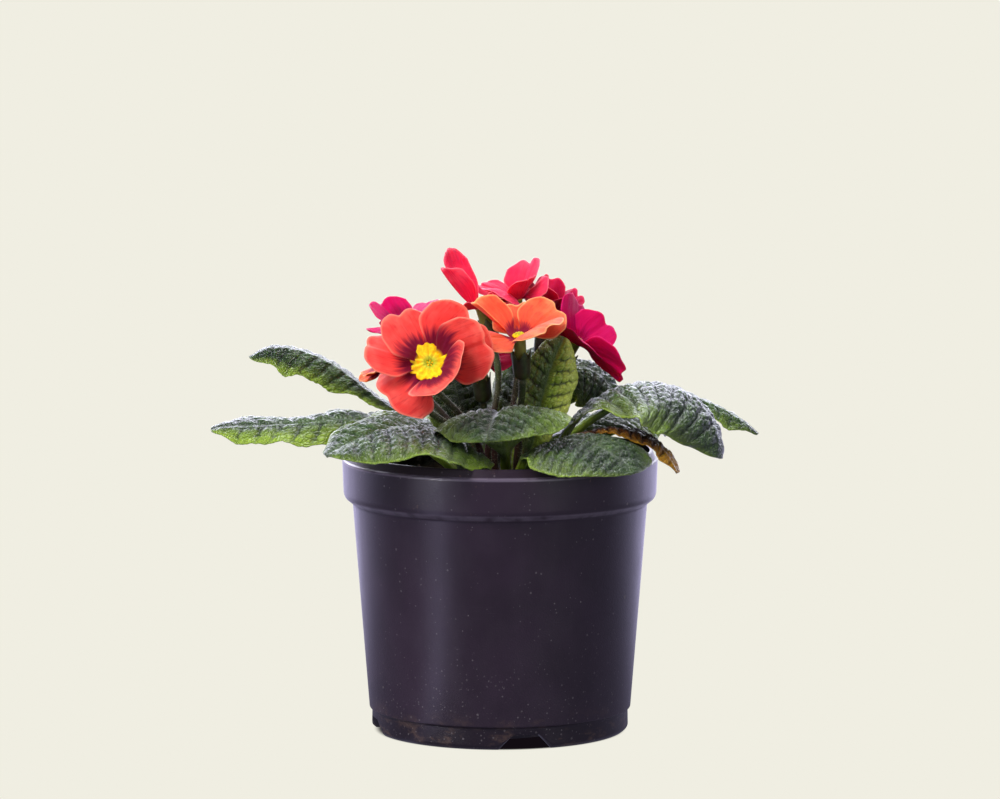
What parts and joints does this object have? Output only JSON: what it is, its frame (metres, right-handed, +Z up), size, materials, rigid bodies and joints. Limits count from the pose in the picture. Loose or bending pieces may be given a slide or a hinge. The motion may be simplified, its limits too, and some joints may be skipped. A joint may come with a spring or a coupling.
{
  "type": "potted primrose",
  "caption": "Primrose plant with wrinkled leaves round a posy of yellow-eyed blooms, in a round black nursery pot filled with compost.",
  "frame": {"origin": "centre of the flat underside of the pot, at table height", "axes": "+Z up along the pot's axis, -Y towards the side with the large open bloom, +X along the longest spread of the leaves"},
  "size_m": [0.1832, 0.128, 0.1606],
  "materials": {
    "pot": "satin, moulded, aubergine black",
    "compost": "matt, crumbly, damp",
    "leaf": "matt, wrinkled, with fine hairs",
    "old_leaf": "matt, dry, brown to yellow",
    "stalk": "matt, with fine hairs",
    "eye": "soft matt",
    "petals_coral": "soft velvet matt",
    "petals_orange": "soft velvet matt",
    "petals_magenta": "soft velvet matt",
    "petals_pink": "soft velvet matt",
    "petals_crimson": "soft velvet matt"
  },
  "bodies": {
    "root": {"pot": "pot", "compost": "compost", "leaf_left_upper": "leaf", "leaf_left_lower": "leaf", "leaf_front_left": "leaf", "leaf_front": "leaf", "leaf_front_right": "leaf", "leaf_right": "leaf", "leaf_old_right": "old_leaf", "leaf_far_right": "leaf", "leaf_right_inner": "leaf", "leaf_upright": "leaf", "leaf_back_inner": "leaf", "leaf_back_left": "leaf", "leaf_back": "leaf", "leaf_back_middle": "leaf", "leaf_back_right": "leaf", "bloom_front_petals": "petals_coral", "bloom_front_eye": "eye", "bloom_front_stalk": "stalk", "bloom_orange_petals": "petals_orange", "bloom_orange_eye": "eye", "bloom_orange_stalk": "stalk", "bloom_right_petals": "petals_magenta", "bloom_right_eye": "eye", "bloom_right_stalk": "stalk", "bloom_top_petals": "petals_pink", "bloom_top_eye": "eye", "bloom_top_stalk": "stalk", "bloom_tall_petals": "petals_pink", "bloom_tall_eye": "eye", "bloom_tall_stalk": "stalk", "bloom_left_petals": "petals_magenta", "bloom_left_eye": "eye", "bloom_left_stalk": "stalk", "bloom_low_petals": "petals_orange", "bloom_low_eye": "eye", "bloom_low_stalk": "stalk", "bloom_right_back_petals": "petals_crimson", "bloom_right_back_eye": "eye", "bloom_right_back_stalk": "stalk", "bloom_inner_petals": "petals_crimson", "bloom_inner_eye": "eye", "bloom_inner_stalk": "stalk"}
  },
  "joints": []
}
